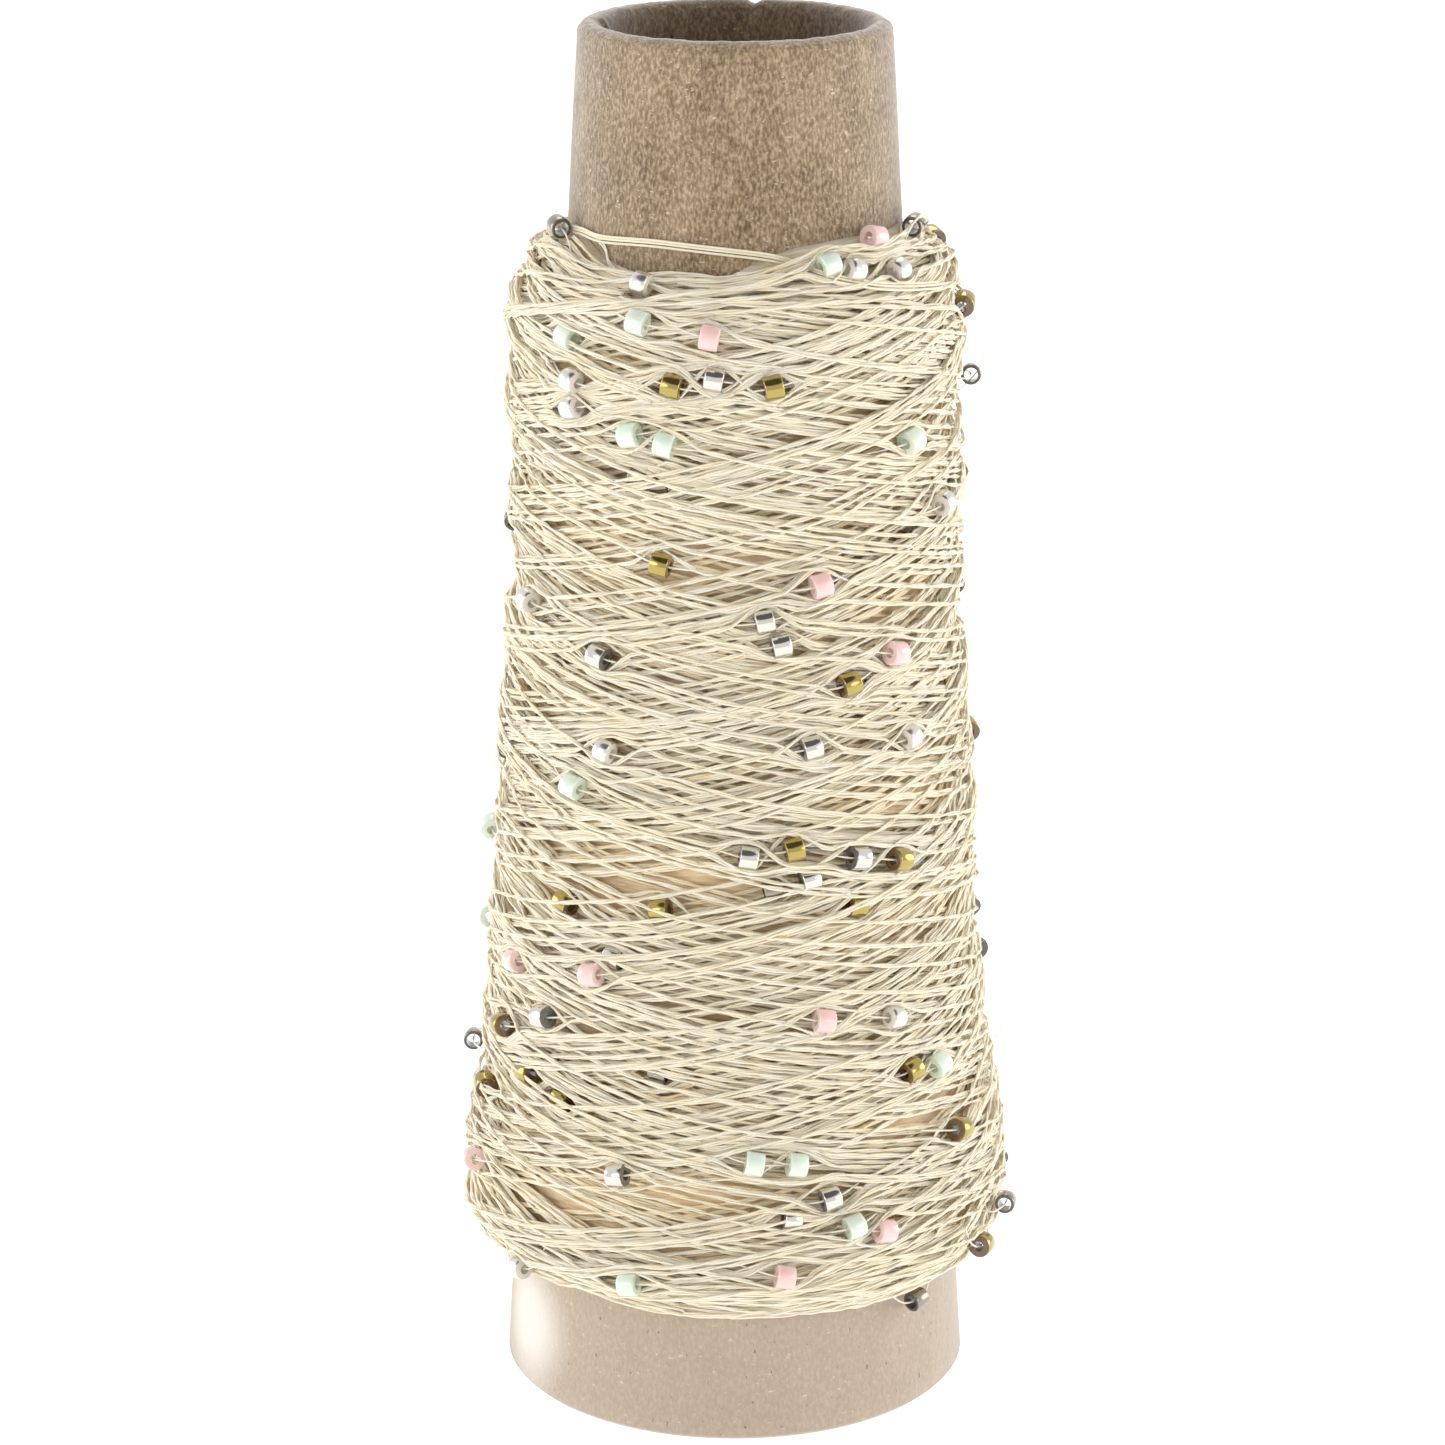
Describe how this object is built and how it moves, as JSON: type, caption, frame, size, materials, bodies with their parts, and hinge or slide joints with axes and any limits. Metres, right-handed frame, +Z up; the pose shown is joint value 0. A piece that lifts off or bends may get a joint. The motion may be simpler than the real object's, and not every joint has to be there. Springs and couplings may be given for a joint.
{
  "type": "yarn cone",
  "caption": "Rolled paper cone wound with cream two-ply yarn that carries small glass beads on a fine thread; the outer beads turn on the thread.",
  "frame": {"origin": "centre of the cone's base rim, on the surface that it stands on", "axes": "+Z up along the cone's axis towards its nose; -Y is the front"},
  "size_m": [0.0699, 0.0715, 0.17],
  "materials": {
    "cardboard": "matte recycled kraft with fibre flecks",
    "yarn": "soft two-ply cotton, slightly fuzzy",
    "carrier_thread": "fine twisted thread",
    "glass_silver": "clear glass lined with silver",
    "glass_gold": "clear glass lined with gold",
    "glass_pink": "clear glass lined with pink",
    "glass_mint": "pale green pearl glass"
  },
  "bodies": {
    "root": {"bead_gold_01": "glass_gold", "bead_gold_02": "glass_gold", "bead_gold_03": "glass_gold", "bead_gold_04": "glass_gold", "bead_gold_05": "glass_gold", "bead_gold_06": "glass_gold", "bead_gold_07": "glass_gold", "bead_gold_08": "glass_gold", "bead_gold_09": "glass_gold", "bead_mint_01": "glass_mint", "bead_mint_02": "glass_mint", "bead_mint_03": "glass_mint", "bead_mint_04": "glass_mint", "bead_mint_05": "glass_mint", "bead_mint_06": "glass_mint", "bead_mint_07": "glass_mint", "bead_mint_08": "glass_mint", "bead_pink_01": "glass_pink", "bead_pink_02": "glass_pink", "bead_pink_03": "glass_pink", "bead_pink_04": "glass_pink", "bead_pink_05": "glass_pink", "bead_pink_06": "glass_pink", "bead_pink_07": "glass_pink", "bead_pink_08": "glass_pink", "bead_silver_01": "glass_silver", "bead_silver_02": "glass_silver", "bead_silver_03": "glass_silver", "bead_silver_04": "glass_silver", "bead_silver_05": "glass_silver", "bead_silver_06": "glass_silver", "bead_silver_07": "glass_silver", "bead_silver_08": "glass_silver", "bead_silver_09": "glass_silver", "bead_silver_10": "glass_silver", "bead_silver_11": "glass_silver", "bead_silver_12": "glass_silver", "bead_silver_13": "glass_silver", "bead_thread_01": "carrier_thread", "bead_thread_02": "carrier_thread", "bead_thread_03": "carrier_thread", "bead_thread_04": "carrier_thread", "bead_thread_05": "carrier_thread", "bead_thread_06": "carrier_thread", "bead_thread_07": "carrier_thread", "bead_thread_08": "carrier_thread", "bead_thread_09": "carrier_thread", "bead_thread_10": "carrier_thread", "paper_cone": "cardboard", "yarn_winding": "yarn"},
    "loose_bead_01_body": {"loose_bead_01": "glass_silver"},
    "loose_bead_02_body": {"loose_bead_02": "glass_silver"},
    "loose_bead_03_body": {"loose_bead_03": "glass_silver"},
    "loose_bead_04_body": {"loose_bead_04": "glass_silver"},
    "loose_bead_05_body": {"loose_bead_05": "glass_silver"},
    "loose_bead_06_body": {"loose_bead_06": "glass_silver"},
    "loose_bead_07_body": {"loose_bead_07": "glass_gold"},
    "loose_bead_08_body": {"loose_bead_08": "glass_silver"},
    "loose_bead_09_body": {"loose_bead_09": "glass_silver"},
    "loose_bead_10_body": {"loose_bead_10": "glass_pink"}
  },
  "joints": [
    {"name": "loose_bead_01_spin", "type": "hinge", "parent": "root", "child": "loose_bead_01_body", "pos_m": [-0.02075, -0.00755, 0.1466], "axis": [0.3404, -0.9354, -0.0958], "continuous": true},
    {"name": "loose_bead_02_spin", "type": "hinge", "parent": "root", "child": "loose_bead_02_body", "pos_m": [0.02112, -0.00646, 0.1466], "axis": [0.291, 0.9519, 0.0958], "continuous": true},
    {"name": "loose_bead_03_spin", "type": "hinge", "parent": "root", "child": "loose_bead_03_body", "pos_m": [0.02837, -0.00049, 0.12723], "axis": [0.0174, 0.9952, -0.0958], "continuous": true},
    {"name": "loose_bead_04_spin", "type": "hinge", "parent": "root", "child": "loose_bead_04_body", "pos_m": [-0.03283, -0.00115, 0.04203], "axis": [0.0347, -0.9948, 0.0958], "continuous": true},
    {"name": "loose_bead_05_spin", "type": "hinge", "parent": "root", "child": "loose_bead_05_body", "pos_m": [0.03397, -0.00784, 0.02266], "axis": [0.2239, 0.9699, -0.0958], "continuous": true},
    {"name": "loose_bead_06_spin", "type": "hinge", "parent": "root", "child": "loose_bead_06_body", "pos_m": [-0.02648, -0.02069, 0.01944], "axis": [0.6128, -0.7844, 0.0958], "continuous": true},
    {"name": "loose_bead_07_spin", "type": "hinge", "parent": "root", "child": "loose_bead_07_body", "pos_m": [0.0307, -0.01367, 0.01944], "axis": [0.4049, 0.9093, -0.0958], "continuous": true},
    {"name": "loose_bead_08_spin", "type": "hinge", "parent": "root", "child": "loose_bead_08_body", "pos_m": [0.0224, -0.02017, 0.01492], "axis": [0.666, 0.7397, 0.0958], "continuous": true},
    {"name": "loose_bead_09_spin", "type": "hinge", "parent": "root", "child": "loose_bead_09_body", "pos_m": [0.01329, 0.02499, 0.11303], "axis": [-0.8789, 0.4673, -0.0958], "continuous": true},
    {"name": "loose_bead_10_spin", "type": "hinge", "parent": "root", "child": "loose_bead_10_body", "pos_m": [-0.01174, 0.02907, 0.05817], "axis": [-0.9229, -0.3729, 0.0958], "continuous": true}
  ]
}
